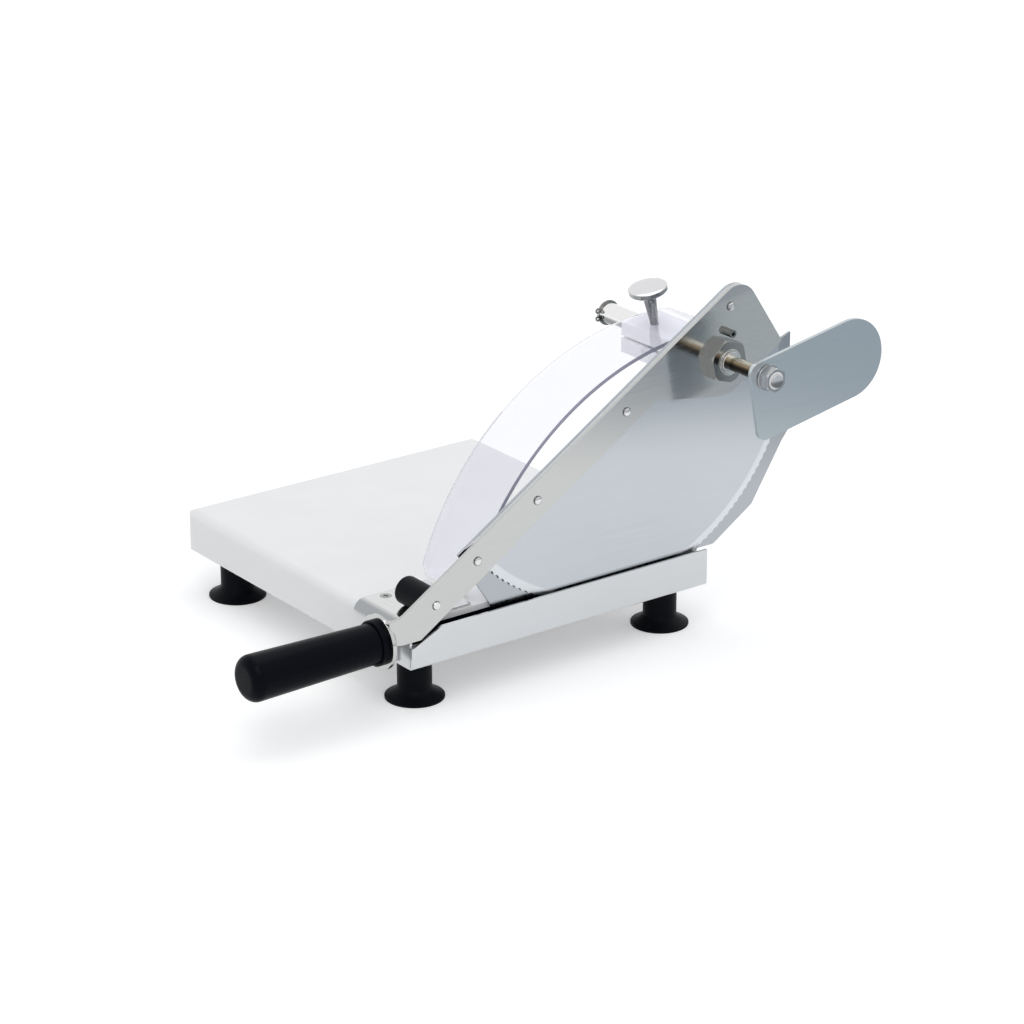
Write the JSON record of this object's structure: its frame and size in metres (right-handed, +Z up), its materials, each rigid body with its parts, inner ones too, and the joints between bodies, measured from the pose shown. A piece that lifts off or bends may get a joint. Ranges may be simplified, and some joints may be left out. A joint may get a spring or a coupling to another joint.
{
  "type": "bread slicer",
  "caption": "Hand-operated bread slicer: a toothed half-moon blade on a hinged lever drops into a slot beside a white board, with a floating blade guard, a clear screen and suction feet.",
  "frame": {"origin": "on the table under the middle of the box around the whole slicer, lever down", "axes": "+X from the grip along the slot to the paddle, +Y from the operator over the board to its far edge, +Z up"},
  "size_m": [0.5196, 0.359, 0.2653],
  "materials": {
    "white_board": "smooth white cutting-board plastic",
    "sheet_steel": "folded stainless sheet, fine satin finish",
    "plate_steel": "stainless plate, polished",
    "blade_steel": "stainless blade, polished",
    "guard_steel": "stainless sheet, satin",
    "turned_steel": "turned and polished steel",
    "nut_steel": "bright nut steel",
    "screw_steel": "bright zinc-plated screws and rivets",
    "spring_steel": "blackened spring steel",
    "black_steel": "black-oxide steel",
    "bronze": "sintered bearing bronze",
    "black_rubber": "moulded black rubber",
    "black_plastic": "black moulded plastic, soft sheen",
    "white_plastic": "white moulded plastic",
    "clear_plastic": "clear bent acrylic",
    "bright_cap": "turned light-metal cap"
  },
  "bodies": {
    "base": {"board": "white_board", "slot_strip": "black_plastic", "front_rail": "sheet_steel", "rail_screws": "screw_steel", "stop_plate": "sheet_steel", "stop_plate_screws": "screw_steel", "foot_stem_front_left": "black_plastic", "foot_stem_front_right": "black_plastic", "foot_stem_rear_left": "black_plastic", "foot_stem_rear_right": "black_plastic", "suction_cup_front_left": "black_rubber", "suction_cup_front_right": "black_rubber", "suction_cup_rear_left": "black_rubber", "suction_cup_rear_right": "black_rubber", "foot_screws": "screw_steel", "upright": "plate_steel", "upright_screws": "screw_steel", "pivot_shaft": "turned_steel", "shaft_circlip": "spring_steel", "shaft_front_ring": "screw_steel", "thrust_washer": "screw_steel", "paddle_washer_rear": "screw_steel", "paddle_washer_front": "screw_steel", "paddle_nut": "nut_steel", "paddle_nut_ring": "white_plastic"},
    "lever": {"arm": "plate_steel", "blade": "blade_steel", "blade_rivets": "screw_steel", "hub_bush": "turned_steel", "hub_liner": "bronze", "hub_nut": "nut_steel", "guard_pin": "black_steel", "bumper": "black_rubber", "bumper_screw": "screw_steel", "grip": "black_plastic", "grip_ferrule": "black_plastic", "grip_bolt": "screw_steel"},
    "guard": {"blade_guard": "guard_steel"},
    "carrier": {"screen_carrier": "white_plastic"},
    "screen": {"screen_hub": "white_plastic", "screen_sheet": "clear_plastic"},
    "knob": {"knob_stud": "turned_steel", "knob_head": "bright_cap"},
    "paddle": {"paddle": "plate_steel"}
  },
  "joints": [
    {"name": "lever_pivot", "type": "hinge", "parent": "base", "child": "lever", "pos_m": [0.149, -0.1137, 0.211], "axis": [0, 1, 0], "range_deg": [0, 68]},
    {"name": "guard_float", "type": "hinge", "parent": "lever", "child": "guard", "pos_m": [0.149, -0.1137, 0.211], "axis": [0, 1, 0], "range_deg": [0, 40]},
    {"name": "screen_slide", "type": "slide", "parent": "base", "child": "carrier", "axis": [0, 1, 0], "range_m": [0, 0.0545]},
    {"name": "screen_swing", "type": "hinge", "parent": "carrier", "child": "screen", "pos_m": [0.149, -0.1137, 0.211], "axis": [0, 1, 0], "range_deg": [0, 60]},
    {"name": "knob_turn", "type": "hinge", "parent": "screen", "child": "knob", "pos_m": [0.1304, -0.06, 0.22729], "axis": [-0.2334, 0, 0.9724], "range_deg": [0, 360]},
    {"name": "paddle_swivel", "type": "hinge", "parent": "base", "child": "paddle", "pos_m": [0.149, -0.1137, 0.211], "axis": [0, 1, 0], "range_deg": [-90, 90]}
  ]
}
